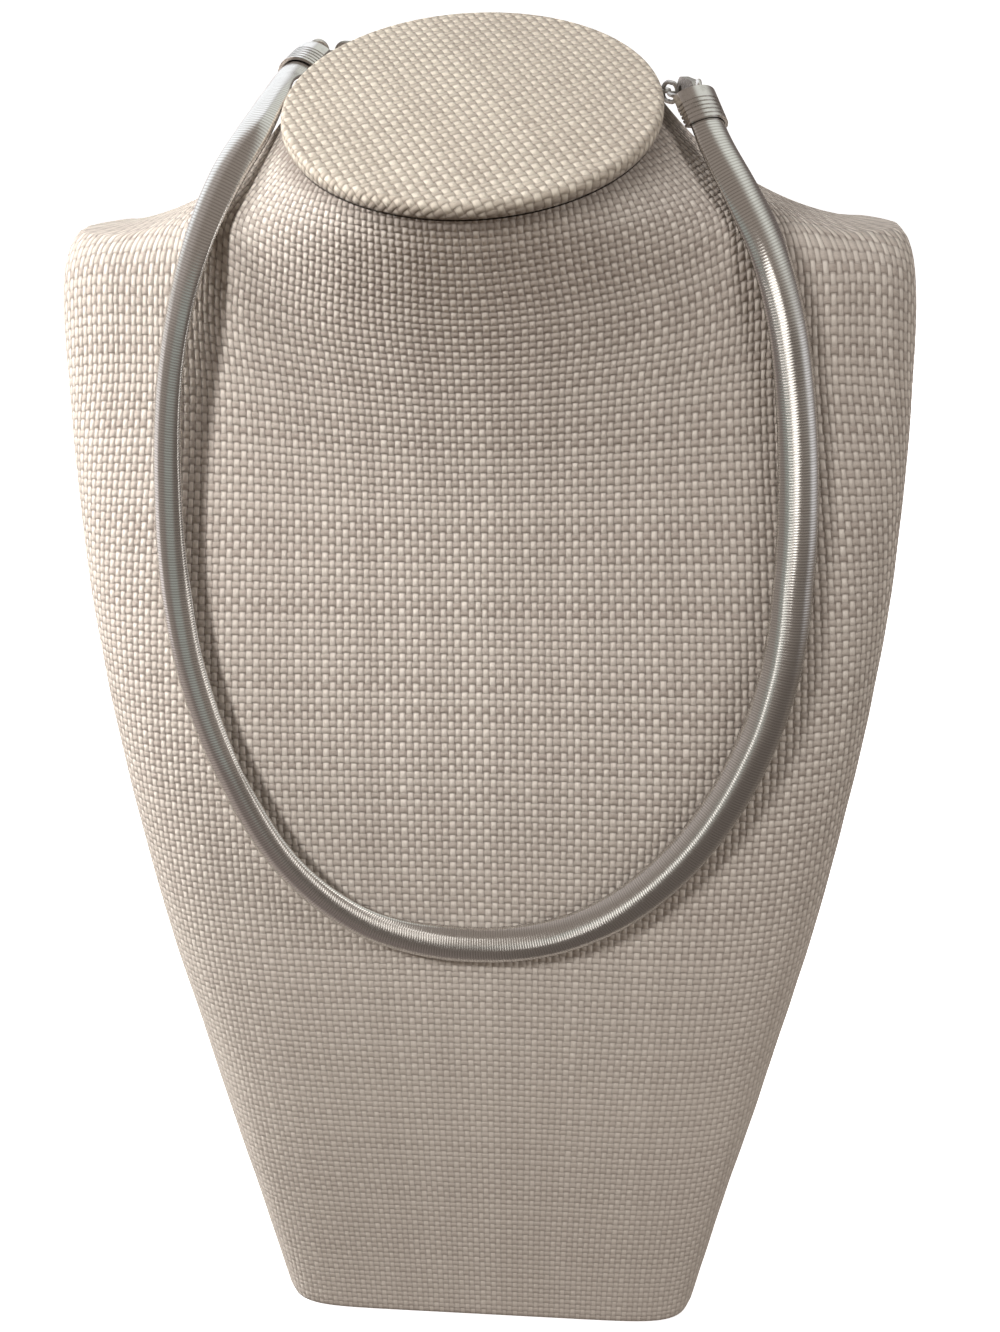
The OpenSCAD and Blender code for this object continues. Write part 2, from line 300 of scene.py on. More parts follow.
def addPool():
    s = studio["pool"]
    data = bpy.data.lights.new("pool", "SPOT")
    data.energy = s["power"]
    data.shadow_soft_size = s["size"] / 2
    data.spot_size = math.radians(s["cone"])
    data.spot_blend = s["softness"]
    hangLamp("pool", data, s["aim"], *s["arm"])


def addStrip(name, x, z, farX, farZ, width, brightness):
    # seen in the polish alone, so it lights no cloth
    length = math.hypot(farX - x, farZ - z)
    data = bpy.data.lights.new(name, "AREA")
    data.shape = "RECTANGLE"
    data.size = length * mm
    data.size_y = width * mm
    data.color = studio["stripColour"]
    data.energy = 4 * brightness * length * width * mm**2  # so that brightness is what the polish mirrors
    along = Vector((farX - x, 0, farZ - z)).normalized()
    outward = Vector((0, -1, 0))
    obj = bpy.data.objects.new(name, data)
    place = Vector(((x + farX) / 2, -studio["stripDistance"], (z + farZ) / 2)) * mm
    turned = Matrix((along, outward.cross(along), outward)).transposed()
    obj.matrix_world = Matrix.Translation(place) @ turned.to_4x4()
    obj.visible_camera = False
    obj.visible_diffuse = False
    scene.collection.objects.link(obj)


def buildFloor():
    # a level sheet that bends up into a plain wall behind
    s = studio
    bend = np.radians(np.linspace(0, 90, s["bendSteps"]))
    wall = s["floorBack"] + s["floorBend"]
    ys = np.concatenate([[-s["floorFront"], 0.0], s["floorBack"] + s["floorBend"] * np.sin(bend), [wall]])
    zs = np.concatenate([[0, 0], s["floorBend"] * (1 - np.cos(bend)), [s["wallHeight"]]]) - s["floorDrop"]
    xs = np.linspace(-s["floorWide"], s["floorWide"], s["floorColumns"])
    points = [(x, y, z) for y, z in zip(ys, zs) for x in xs]
    floor = makeObject("floor", points, gridFaces(len(ys), len(xs), False))
    shader = Shader(bpy.data.materials.new("floor_paper"))
    mottle = shader.noise(shader.coordinates("Object"), s["mottleScale"])
    darker = tuple(c * s["mottleShade"] for c in s["floorColour"])
    floor.data.materials.append(shader.surface({
        "Base Color": shader.mix(mottle, s["floorColour"], darker), "Roughness": s["floorRoughness"],
        "Emission Color": s["backdrop"], "Emission Strength": s["floorGlow"],
    }))
    # the white sheet neither mirrors in the polish nor fills the cloth from below
    floor.visible_glossy = False
    floor.visible_diffuse = False


def insideRange(shader, value, low, high, edge):
    # 1 between low and high, with a soft edge at both
    rising = shader.ramp(value, low - edge, low + edge)
    falling = shader.ramp(value, high - edge, high + edge)
    return rising * (1.0 - falling)


def buildRoom():
    s = studio
    world = bpy.data.worlds.new("room")
    scene.world = world
    shader = Shader(world)
    x, y, z = shader.parts(shader.coordinates("Generated"))
    ambient = shader.mix(shader.ramp(z, -s["horizon"], s["horizon"]), s["ambientLower"], s["ambientUpper"])
    turn = x.maths("ARCTAN2", y * -1.0) * (180 / math.pi)
    height = z.maths("ARCSINE") * (180 / math.pi)
    mirrored = s["mirrorBase"]
    for turnLow, turnHigh, low, high, edge, power, colour in s["mirrored"]:
        share = insideRange(shader, turn, turnLow, turnHigh, edge)
        if turnLow < -180:
            # this panel goes on past straight behind
            share = share + insideRange(shader, turn - 360.0, turnLow, turnHigh, edge)
        share = share * insideRange(shader, height, low, high, edge * s["heightEdge"])
        mirrored = shader.mix(shader.clamp(share), mirrored, tuple(c * power for c in colour))
    light = shader.mix(shader.node("ShaderNodeLightPath", {}, {}, "Is Glossy Ray"), ambient, mirrored)
    light = shader.mix(shader.node("ShaderNodeLightPath", {}, {}, "Is Camera Ray"), light, s["backdrop"])
    background = world.node_tree.nodes["Background"]
    shader.link(background.inputs["Color"], light)
    shader.link(background.inputs["Strength"], 1.0)


def buildStudio():
    for name, lamp in studio["lamps"].items():
        addLamp(name, *lamp)
    addPool()
    for name, strip in studio["strips"].items():
        addStrip("strip_" + name, *strip)
    buildFloor()
    buildRoom()
    scene.view_settings.view_transform = "Standard"


buildCamera()
buildStudio()
print("camera and studio ready")


# the linen: U threads run up the cloth and V threads across it
linen = dict(
    pitchU=1.25, pitchV=1.38, relief=0.34,  # mm
    # share of the pitch that half a thread takes, its change along the thread, and from thread to thread
    threadHalf=0.39, slub=0.16, ownWidth=0.04, slubLength=0.09, slubDetail=3.0,
    # how far in mm a thread wanders off its line, and how fast across and along
    wander=0.3, wanderAcross=0.30, wanderAlong=0.035,
    # height of a thread at its foot, how far it rises over the other, and its height where it goes under
    archFoot=0.42, archRise=0.58, underHeight=0.30,
    # fibres within a thread: how fine across and along, and their share of the relief
    fibreAcross=9.0, fibreAlong=1.6, fibreDetail=3.0, fibreRoughness=0.6, fibreRelief=0.16,
    light=(0.84, 0.765, 0.68), dark=(0.43, 0.365, 0.315),
    # shares in the yarn's tone, between dark and light: U against V, thread to thread, fibres
    toneOfWay=0.50, toneOfThread=0.6, toneOfFibre=0.7,
    # the hole colour, its depth and its share are painted shade in the gaps between the threads
    # the seam colour and its share are painted shade along the cloth's edge under the neck cap
    hole=(0.24, 0.195, 0.165), holeDepth=1.9, holeShare=0.8, seam=(0.16, 0.125, 0.105), seamShadeShare=0.6,
    # faint pinkish and greenish patches
    warm=(0.60, 0.47, 0.42), warmScale=11.0, warmFrom=0.42, warmRise=2.5, warmShare=0.12,
    green=(0.47, 0.46, 0.38), greenScale=28.0, greenDetail=3.0, greenFrom=0.5, greenRise=2.0, greenShare=0.10,
    # the cloth reads finer and more even low down, between these heights in metres
    lowContrast=0.5, lowFrom=0.055, lowTo=0.150,
    roughness=0.86, specular=0.25, sheen=0.12, sheenRoughness=0.5,
    # these only keep the patterns of the two threads apart
    seedU=0.37, seedV=91.3, stepU=3.7, stepV=3.1, wanderSeed=7.0, slubSeed=5.0, fibreSeed=3.0,
)


def makeLinen(name, tint=(1.0, 1.0, 1.0), turn=0.0, pitch=(1.0, 1.0), contrast=1.0):
    # turn lays the weave askew, in degrees; pitch over 1 makes it coarser, contrast under 1 weaker
    s = linen
    shader = Shader(bpy.data.materials.new(name))
    x, y, seam = shader.attribute("weaveCoords")
    place = shader.coordinates("Object")
    if turn:
        c, d = math.cos(math.radians(turn)), math.sin(math.radians(turn))
        x, y = x * c + y * d, y * c - x * d
    wayU = shader.vector(x * s["wanderAcross"], y * s["wanderAlong"])
    wayV = shader.vector(x * s["wanderAlong"], y * s["wanderAcross"], s["wanderSeed"])
    wanderU = (shader.noise(wayU, 1.0) - 0.5) * (s["wander"] * 2)
    wanderV = (shader.noise(wayV, 1.0) - 0.5) * (s["wander"] * 2)
    u = (x + wanderU) / (s["pitchU"] * pitch[0])
    v = (y + wanderV) / (s["pitchV"] * pitch[1])
    column, row = u.maths("FLOOR"), v.maths("FLOOR")
    fromU, fromV = u - column - 0.5, v - row - 0.5
    odd = (column + row).maths("FLOORED_MODULO", 2.0)
    even = 1.0 - odd
    # uneven spun yarn: each thread has its own width and tone, which change slowly along it
    toneU, toneV = shader.random(column + s["seedU"]), shader.random(row + s["seedV"])
    alongU = shader.vector(column * s["stepU"], y * s["slubLength"])
    alongV = shader.vector(x * s["slubLength"], row * s["stepV"], s["slubSeed"])
    slubU = shader.noise(alongU, 1.0, s["slubDetail"])
    slubV = shader.noise(alongV, 1.0, s["slubDetail"])

    def roundThread(offset, slub, tone):
        half = s["threadHalf"] + (slub - 0.5) * s["slub"] + (tone - 0.5) * s["ownWidth"]
        edge = offset / half
        return shader.clamp(1.0 - edge * edge).maths("POWER", 0.5)

    def archOver(offset):
        return s["archFoot"] + s["archRise"] * (offset * math.pi).maths("COSINE")

    threadU = roundThread(fromU, slubU, toneU)
    threadV = roundThread(fromV, slubV, toneV)
    overU, overV = threadU * archOver(fromV), threadV * archOver(fromU)
    underU, underV = threadU * s["underHeight"], threadV * s["underHeight"]
    top = even * overU.maths("MAXIMUM", underV) + odd * overV.maths("MAXIMUM", underU)
    # 1 where the thread on view runs up the cloth
    onU = even * overU.maths("GREATER_THAN", underV) + odd * underU.maths("GREATER_THAN", overV)

    def onView(ofU, ofV):
        return onU * ofU + (1.0 - onU) * ofV

    fine = (1.0, s["fibreDetail"], s["fibreRoughness"])
    fibreU = shader.noise(shader.vector(u * s["fibreAcross"], v * s["fibreAlong"]), *fine)
    fibreV = shader.noise(shader.vector(u * s["fibreAlong"], v * s["fibreAcross"], s["fibreSeed"]), *fine)
    fibre = onView(fibreU, fibreV)
    tone = onView(toneU * 0.5 + slubU * 0.5, toneV * 0.5 + slubV * 0.5)
    up = shader.parts(place)[2]
    depth = shader.ramp(up, s["lowFrom"], s["lowTo"], contrast * s["lowContrast"], contrast)
    way = onU * s["toneOfWay"] - s["toneOfWay"] / 2
    lightness = 0.5 + (way + (tone - 0.5) * s["toneOfThread"] + (fibre - 0.5) * s["toneOfFibre"]) * depth
    yarn = shader.mix(shader.clamp(lightness), s["dark"], s["light"])
    warm = shader.clamp((shader.noise(place, s["warmScale"]) - s["warmFrom"]) * s["warmRise"])
    green = shader.noise(place, s["greenScale"], s["greenDetail"])
    green = shader.clamp((green - s["greenFrom"]) * s["greenRise"])
    yarn = shader.mix(warm * s["warmShare"], yarn, s["warm"])
    yarn = shader.mix(green * s["greenShare"], yarn, s["green"])
    yarn = shader.mix(1.0, yarn, tint, "MULTIPLY")
    # painted shade in the gaps between the threads, darkest where no thread rises
    hole = shader.clamp(1.0 - top * s["holeDepth"]) * s["holeShare"] * depth
    colour = shader.mix(hole, yarn, tuple(a * b for a, b in zip(s["hole"], tint)))
    # painted shade where the cloth meets the neck cap: the bust's top rows and the cap's side under its rim
    colour = shader.mix(shader.clamp(seam) * s["seamShadeShare"], colour, s["seam"])
    height = (top + (fibre - 0.5) * s["fibreRelief"]) * depth
    return shader.surface({
        "Base Color": colour, "Roughness": s["roughness"], "Specular IOR Level": s["specular"],
        "Sheen Weight": s["sheen"], "Sheen Roughness": s["sheenRoughness"],
        "Normal": shader.bump(height, s["relief"] * mm),
    })


# the neck bust: lengths in mm, turns in degrees
bust = dict(
    trunkHeight=230.0, shoulderWidth=160.0, baseWidth=91.0, trunkDepth=68.0, swell=20.0, swellSpread=0.62,
    baseRound=1.2, baseTurns=(0, 30, 60), neckWidth=62.5, neckHeight=247.0, neckLean=12.0, neckTilt=25.5,
    # share of the height, of the flare, of half the depth in front and behind, squareness, share of the swell
    sections=[
        [0.000, 0.000, 1.03, 0.97, 9.0, 0.00], [0.130, 0.200, 1.03, 0.97, 7.0, 0.00],
        [0.270, 0.440, 1.03, 0.97, 5.0, 0.00], [0.410, 0.645, 1.00, 0.97, 4.6, 0.00],
        [0.560, 0.820, 0.92, 0.97, 4.2, 0.00], [0.690, 0.930, 0.80, 0.97, 3.9, 0.00],
        [0.800, 0.965, 0.68, 0.94, 3.7, 0.08], [0.875, 0.965, 0.60, 0.92, 3.6, 0.26],
        [0.925, 0.950, 0.56, 0.89, 3.6, 0.46], [0.960, 0.925, 0.52, 0.86, 3.5, 0.69],
        [0.980, 0.885, 0.45, 0.80, 3.4, 0.93], [0.990, 0.835, 0.37, 0.72, 3.3, 1.16],
    ],
    around=288, outlineSteps=4001, sectionSteps=12, neckSteps=44, rows=176,
    floorRings=(0.7, 0.4, 0.1, 0.001),  # shares of the base's outline, toward its middle
    # no rounding and full rounding, by half width, depth and height
    relaxWidth=(66, 46), relaxDepth=(2, -12), relaxHeight=(185, 205), relaxTimes=60,
    # the padding: its depth, the heights where it fades in, plain rings at the top, and its waves
    unevenness=0.12, unevenFrom=(3, 12), plainRings=3,
    waveX=0.21, waveXWander=(1.3, 0.083), waveZ=0.17, waveZWander=(1.1, 0.067, 2.0),
    smallWave=(0.47, 0.2, 0.39), smallShare=0.5,
    # the threads: backward lean over the shoulders, the distance from the neck where they stop running round
    # it, the shares of the height where both begin and end, and where the cloth is cut at the shoulders
    lean=40.0, leanShares=(0.86, 0.99), roundNeck=(56, 40), roundShares=(0.90, 0.97), cutHeight=226.5,
    # the last number is how many rows below the cap's seam the painted shade spans
    solveTimes=1500, solvedAt=1e-9, leastWeight=1e-12, leastStep=1e-9, seamShadeRows=3,
)


def signedPower(values, power):
    return np.sign(values) * np.abs(values) ** power


def halfWidth(share):
    # half the trunk's width at a share of its flare
    base, shoulders = bust["baseWidth"], bust["shoulderWidth"]
    return base / 2 + (shoulders - base) / 2 * share


def bustOutline(width, middle, front, back, square, swell):
    s = bust
    # a fine half outline on the left side, from the back's middle to the front's, evened out and mirrored
    angle = np.linspace(math.pi / 2, 3 * math.pi / 2, s["outlineSteps"])
    x = -width * np.abs(np.cos(angle)) ** (2 / square)
    k = signedPower(np.sin(angle), 2 / square)
    share = np.exp(-((x / (s["swellSpread"] * s["neckWidth"])) ** 2)) * np.maximum(-k, 0)
    y = middle + np.where(k < 0, middle - front, back - middle) * k - swell * share
    length = runningLength(x, y)
    at = np.linspace(0, length[-1], s["around"] // 2 + 1)
    x, y, share = (np.interp(at, length, row) for row in (x, y, share))
    mirror = slice(-2, 0, -1)
    return tuple(np.concatenate([row, sign * row[mirror]]) for row, sign in ((x, -1), (y, 1), (share, 1)))


def bustRings():
    s = bust
    halfDepth = s["trunkDepth"] / 2
    rings = []

    def trunkRing(row, inset, z):
        front, back = -row[2] * halfDepth + inset, row[3] * halfDepth - inset
        width, middle, swell = halfWidth(row[1]) - inset, (front + back) / 2, row[5] * s["swell"]
        x, y, _ = bustOutline(width, middle, front, back, row[4], swell)
        rings.append(np.stack([x, y, np.full_like(x, z)], 1))

    for turn in s["baseTurns"]:
        a = math.radians(turn)
        trunkRing(s["sections"][0], s["baseRound"] * (1 - math.sin(a)), s["baseRound"] * (1 - math.cos(a)))
    for row in throughPoints(s["sections"], s["sectionSteps"]):
        trunkRing(row, 0, max(row[0] * s["trunkHeight"], s["baseRound"]))
    # from the last section up to the neck's round, leaning edge
    row = s["sections"][-1]
    for k in range(1, s["neckSteps"] + 1):
        u = k / s["neckSteps"]
        width = halfWidth(row[1]) * (1 - u) + s["neckWidth"] / 2 * u
        front = -row[2] * halfDepth * (1 - u) - (s["neckLean"] + s["neckWidth"] / 2) * u
        back = row[3] * halfDepth * (1 - u) - (s["neckLean"] - s["neckWidth"] / 2) * u
        middle = (row[3] - row[2]) * halfDepth / 2 * (1 - u**3) - s["neckLean"] * u**3
        square, swell = 2 + (row[4] - 2) * (1 - u) ** 2, row[5] * s["swell"] * (1 - u)
        x, y, share = bustOutline(width, middle, front, back, square, swell)
        q = u ** (2 - share)
        tilt = np.radians(s["neckTilt"]) * q
        z = row[0] * s["trunkHeight"] * (1 - q) + s["neckHeight"] * q + (y - middle) * np.sin(tilt)
        rings.append(np.stack([x, middle + (y - middle) * np.cos(tilt), z], 1))
    return np.array(rings)


def evenRings(rings, first, count):
    # the rings above the base's round edge, spaced evenly up every column
    upper = rings[first:]
    steps = np.linalg.norm(np.diff(upper, axis=0), axis=2)
    length = np.concatenate([np.zeros((1, upper.shape[1])), np.cumsum(steps, 0)], 0)
    even = np.empty((count, upper.shape[1], 3))
    for column in range(upper.shape[1]):
        at = np.linspace(0, length[-1, column], count)
        for axis in range(3):
            even[:, column, axis] = np.interp(at, length[:, column], upper[:, column, axis])
    return np.concatenate([rings[:first], even])


def relaxChest(rings):
    # cloth drawn tight from the chest to the neck rounds off the edge between them, inside the shoulders
    s = bust
    x, y, z = np.abs(rings[..., 0]), rings[..., 1], rings[..., 2]
    share = smoothStep(*s["relaxWidth"], x) * smoothStep(*s["relaxDepth"], y)
    share = share * smoothStep(*s["relaxHeight"], z)
    for _ in range(s["relaxTimes"]):
        rings[1:-1] += share[1:-1, :, None] * ((rings[:-2] + rings[2:]) / 2 - rings[1:-1])
    return rings


def unevenRings(rings):
    # a light unevenness, as cloth over padding has
    s = bust
    x, y, z = np.moveaxis(rings, 2, 0)
    far, slow = s["waveXWander"]
    farUp, slowUp, start = s["waveZWander"]
    smallX, smallY, smallZ = s["smallWave"]
    across = np.sin(x * s["waveX"] + far * np.sin(z * slow))
    upward = np.sin(z * s["waveZ"] + farUp * np.sin(x * slowUp + start))
    wave = across * upward + s["smallShare"] * np.sin(x * smallX + z * smallZ + y * smallY)
    # the waves run from -1.5 to 1.5, so this only goes inward
    amount = s["unevenness"] * (0.5 + wave / 3) * smoothStep(*s["unevenFrom"], z)
    amount[-s["plainRings"] :] = 0
    return rings - unit(np.stack([x, y, 0 * x], -1)) * amount[..., None]


def solveThreads(edges, steps, weights, count):
    # least squares: the value that changes along every edge by the given step
    s = bust
    a, b = edges

    def gather(arriving, leaving):
        return np.bincount(b, arriving, count) - np.bincount(a, leaving, count)

    scale = np.bincount(a, weights, count) + np.bincount(b, weights, count) + s["leastWeight"]
    value = np.zeros(count)
    left = gather(weights * steps, weights * steps)
    ready = left / scale
    way, energy = ready.copy(), left @ ready
    for _ in range(s["solveTimes"]):
        flow = weights * (way[b] - way[a])
        push = gather(flow, flow)
        size = energy / (way @ push)
        value += size * way
        left -= size * push
        ready = left / scale
        energy, before = left @ ready, energy
        way = ready + way * (energy / before)
        if energy < s["solvedAt"]:
            break
    return value


def threadWays(points, across):
    # which way both threads run at every point of the cloth
    s = bust
    normal = unit(np.cross(across, unit(np.gradient(points, axis=0))))
    # cloth runs straight up the trunk, and backward over the shoulders
    leanLow, leanHigh = (share * s["trunkHeight"] for share in s["leanShares"])
    lean = smoothStep(leanLow, leanHigh, points[..., 2]) * np.radians(s["lean"])
    upWay = np.stack([0 * lean, np.sin(lean), np.cos(lean)], -1)
    threadV = unit(upWay - np.sum(upWay * normal, -1, keepdims=True) * normal)
    # near the neck the threads run round it
    roundLow, roundHigh = (share * s["trunkHeight"] for share in s["roundShares"])
    fromNeck = np.hypot(points[..., 0], points[..., 1] + s["neckLean"])
    nearNeck = smoothStep(*s["roundNeck"], fromNeck) * smoothStep(roundLow, roundHigh, points[..., 2])
    nearNeck = nearNeck[..., None]
    threadV = unit(threadV * (1 - nearNeck) + np.cross(normal, across) * nearNeck)
    return np.cross(threadV, normal), threadV


def between(values, axis):
    # the means of neighbours along one axis
    if axis == 0:
        return (values[:-1] + values[1:]) / 2
    return (values[:, :-1] + values[:, 1:]) / 2


def threadCoordinates(points, index, cutRow):
    # points: rows x columns, the seam's column doubled
    # index: the numbers of the cloth's own points, with the cloth cut behind the shoulders
    ways = threadWays(points, unit(np.gradient(points, axis=1)))
    least = bust["leastStep"]  # the doubled ring's own steps are shorter
    edges, targets, weights = [], [], []
    for axis in (0, 1):
        a = index[:-1] if axis == 0 else index[:, :-1]
        b = index[1:] if axis == 0 else index[:, 1:]
        step = np.diff(points, axis=axis)
        spread = np.linalg.norm(np.gradient(points, axis=1 - axis), axis=-1)
        length = np.linalg.norm(step, axis=-1)
        keep = (a != b) & (length > least)
        if axis == 0:
            keep[cutRow] = False
        edges.append(np.stack([a[keep], b[keep]]))
        weights.append((between(spread, axis) / np.maximum(length, least))[keep])
        targets.append(np.stack([np.sum(step * between(way, axis), -1)[keep] for way in ways]))
    edges, targets, weights = np.concatenate(edges, 1), np.concatenate(targets, 1), np.concatenate(weights)
    count = index.max() + 1
    u, v = (solveThreads(edges, target, weights, count)[index] for target in targets)
    front = points.shape[1] // 2
    return u - u[:cutRow, front].mean(), v - v[0, front]


def coverCoordinates(rings):
    # the cloth's own coordinates at each corner of the bust's walls, and how much painted shade the corner
    # gets near the seam under the cap
    s = bust
    rows, columns = rings.shape[:2]
    # the ring at the shoulders' edge is doubled, and so is the column down the back's middle
    cutRow = int(np.argmax(rings[:, 0, 2] > s["cutHeight"]))
    unwrapped = np.insert(rings, cutRow + 1, rings[cutRow], 0)
    unwrapped = np.concatenate([unwrapped, unwrapped[:, :1]], 1)
    # in front of the neck the doubled ring is one and the same
    index = np.arange(unwrapped.shape[0] * unwrapped.shape[1]).reshape(unwrapped.shape[:2])
    joined = unwrapped[cutRow, :, 1] < 0
    index[cutRow + 1, joined] = index[cutRow, joined]
    index = np.unique(index, return_inverse=True)[1].reshape(index.shape)
    u, v = threadCoordinates(unwrapped, index, cutRow)
    row, column = np.divmod(np.arange((rows - 1) * columns), columns)
    row = row + (row >= cutRow)
    cornerRow = np.stack([row, row, row + 1, row + 1], 1)
    cornerColumn = np.stack([column, column + 1, column + 1, column], 1)
    # painted shade on the top rows, darkest at the seam under the neck cap
    seamShadeMask = smoothStep(s["seamShadeRows"], 0, rows - cornerRow)
    return np.stack([u[cornerRow, cornerColumn], v[cornerRow, cornerColumn], seamShadeMask], -1)


def buildBust():
    s = bust
    rings = unevenRings(relaxChest(evenRings(bustRings(), len(s["baseTurns"]), s["rows"])))
    rows, columns = rings.shape[:2]
    # the underside, in rings that narrow to the middle
    middle = rings[0].mean(0)
    floorRings = np.array([middle + (rings[0] - middle) * share for share in s["floorRings"]])
    walls = gridFaces(rows, columns, True)
    bottom = gridFaces(len(floorRings) + 1, columns, True)[:, ::-1]
    bottom = np.where(bottom < columns, bottom, bottom + (rows - 1) * columns)
    points = np.concatenate([rings, floorRings]).reshape(-1, 3)
    body = makeObject("linen_bust", points * mm, np.concatenate([walls, bottom]))
    # the underside's coordinates are its own x and y
    corners = np.concatenate([coverCoordinates(rings), points[bottom] * (1, 1, 0)])
    addVectors(body, "weaveCoords", corners, "CORNER")
    body.data.materials.append(makeLinen("linen_cover"))
    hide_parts("bust_body")
    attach(body, "root")


# the neck cap: lengths in mm; the cover's side reaches down to a hair above the neck's edge
cap = dict(
    lip=0.5, thick=3.2, rim=1.1, seam=0.3, reach=0.24, crown=0.3, crownFrom=0.55,
    around=192, topRings=26, rimRings=9, underRing=0.6, middle=0.001,
    # the side under the rim is shaded toward the seam, by shares of the rim
    shadeBelow=0.5, shadeFrom=1.2, shadeTo=0.4,
    tint=(1.0, 0.995, 0.94), weaveTurn=27.0, weavePitch=(1.2, 0.9), contrast=0.8,
)


def buildCap():
    s, b = cap, bust
    rim, thick = s["rim"], s["thick"]
    radius = b["neckWidth"] / 2 + s["lip"]
    # profile from the middle of the top, over the soft rim, to the middle of the underside
    flat = np.linspace(0, radius - rim, s["topRings"])
    flat[0] = s["middle"]
    upper = np.radians(np.linspace(90, 0, s["rimRings"])[1:])
    lower = np.radians(np.linspace(0, -90, s["rimRings"]))
    inner = radius - rim
    r = np.concatenate([flat, inner + rim * np.cos(upper), inner + rim * np.cos(lower),
                        [radius * s["underRing"], s["middle"]]])
    z = np.concatenate([thick - 0 * flat, thick - rim + rim * np.sin(upper), rim + rim * np.sin(lower),
                        [0, 0]])
    z = z + np.where(z > rim, s["crown"] * (smoothStep(radius, radius * s["crownFrom"], r) - 1), 0)
    length = runningLength(r, z)[:, None]
    angle = np.arange(s["around"]) * 2 * math.pi / s["around"]
    x, y = r[:, None] * np.cos(angle), r[:, None] * np.sin(angle)
    height = np.repeat(z[:, None], s["around"], 1)
    height = s["seam"] + height - s["reach"] * (1 - height / thick)
    tilt = math.radians(b["neckTilt"])
    depth = -b["neckLean"] + y * math.cos(tilt) - height * math.sin(tilt)
    points = np.stack([x, depth, b["neckHeight"] + y * math.sin(tilt) + height * math.cos(tilt)], -1)
    disc = makeObject("linen_cap", points.reshape(-1, 3) * mm, gridFaces(len(r), s["around"], True)[:, ::-1])
    below = smoothStep(thick - rim, rim * s["shadeBelow"], z)
    outer = smoothStep(radius - rim * s["shadeFrom"], radius - rim * s["shadeTo"], r)
    shade = (below * outer)[:, None] + 0 * x
    addVectors(disc, "weaveCoords", np.stack([length * np.cos(angle), length * np.sin(angle), shade], -1))
    cover = makeLinen("linen_cap_cover", s["tint"], s["weaveTurn"], s["weavePitch"], s["contrast"])
    disc.data.materials.append(cover)
    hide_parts("neck_cap")
    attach(disc, "root")


buildBust()
buildCap()
print("linen bust and cap ready")


# the omega band: lengths in mm, turns in degrees
band = dict(
    width=7.4, edge=0.4, dome=2.0, face=(0, -0.97, 0.24), across=18,
    # each wrapped plate is a low ridge with a tight groove on each side: its profile as shares of the depth
    ribPitch=0.5, ribDepth=0.014, ribProfile=(-1.0, -0.05, 0.0, -0.05), edgeRise=0.6,
    # small kinks where plates have slipped: share of the length from the right end, and twist
    kinks=[(0.215, 3.0), (0.285, -4.0), (0.42, 3.5), (0.49, -4.0), (0.63, 4.0), (0.72, -3.0)],
    kinkLength=5.0,
    colour=(0.80, 0.785, 0.765), shade=0.88, groove=(0.40, 0.37, 0.34), grooveShare=0.8,
    # shares in the tone, and in the roughness, of the plates, clouds, streaks and grooves
    middleTone=0.25, plateTone=0.3, cloudTone=0.5, cloudScale=60.0, cloudDetail=3.0,
    roughness=0.17, streakRough=0.10, plateRough=0.05, grooveRough=0.15,
    streakAlong=2.0, streakAcross=1.5, streakDetail=3.0,
    # middle of the flat back from the right end to the left: x, y, z and the turn of the face
    route=[
        [37.5, -10.0, 248.0, 46], [40.5, -14.2, 241.8, 41], [44.8, -17.6, 234.6, 33],
        [49.3, -19.3, 226.1, 27], [52.9, -19.7, 215.4, 21], [55.3, -20.0, 202.7, 16],
        [56.7, -21.5, 187.8, 10], [56.8, -24.1, 170.7, 5], [54.9, -27.5, 152.1, 0],
        [48.9, -30.8, 134.1, -2], [39.0, -33.2, 118.0, -2], [26.0, -34.7, 106.0, 2],
        [11.3, -34.9, 99.4, 5], [-5.7, -34.8, 98.2, 12], [-22.2, -35.0, 102.7, 23],
        [-36.3, -34.3, 114.8, 30], [-46.4, -31.9, 132.9, 30], [-52.6, -28.5, 151.8, 29],
        [-54.9, -25.5, 170.1, 31], [-54.7, -23.6, 187.4, 36], [-52.9, -22.9, 203.2, 41],
        [-49.5, -22.8, 217.1, 43], [-45.4, -21.6, 228.6, 38], [-41.0, -18.6, 237.8, 30],
        [-37.0, -13.2, 244.6, 30], [-35.3, -5.3, 248.9, 38], [-34.5, 3.6, 251.8, 44],
        [-31.9, 10.5, 255.1, 46],
    ],
    routeSteps=40,
)


def bandFrames(spacing):
    # even steps along the curve: place, outward width, face and distance
    s = band
    fine = throughPoints(s["route"], s["routeSteps"])
    steps = np.linalg.norm(np.diff(fine[:, :3], axis=0), axis=1)
    distance = np.concatenate([[0], np.cumsum(steps)])
    count = int(round(distance[-1] / spacing))
    at = np.linspace(0, distance[-1], count + 1)
    row = np.stack([np.interp(at, distance, fine[:, k]) for k in range(4)], 1)
    for share, twist in s["kinks"]:
        row[:, 3] += twist * np.exp(-(((at - share * at[-1]) / s["kinkLength"]) ** 2))
    place, turn = row[:, :3], np.radians(row[:, 3])[:, None]
    run = unit(np.gradient(place, axis=0))
    face = np.array(s["face"])
    face = unit(face - (run @ face)[:, None] * run)
    side = np.cross(face, run)
    return place, side * np.cos(turn) - face * np.sin(turn), face * np.cos(turn) + side * np.sin(turn), at


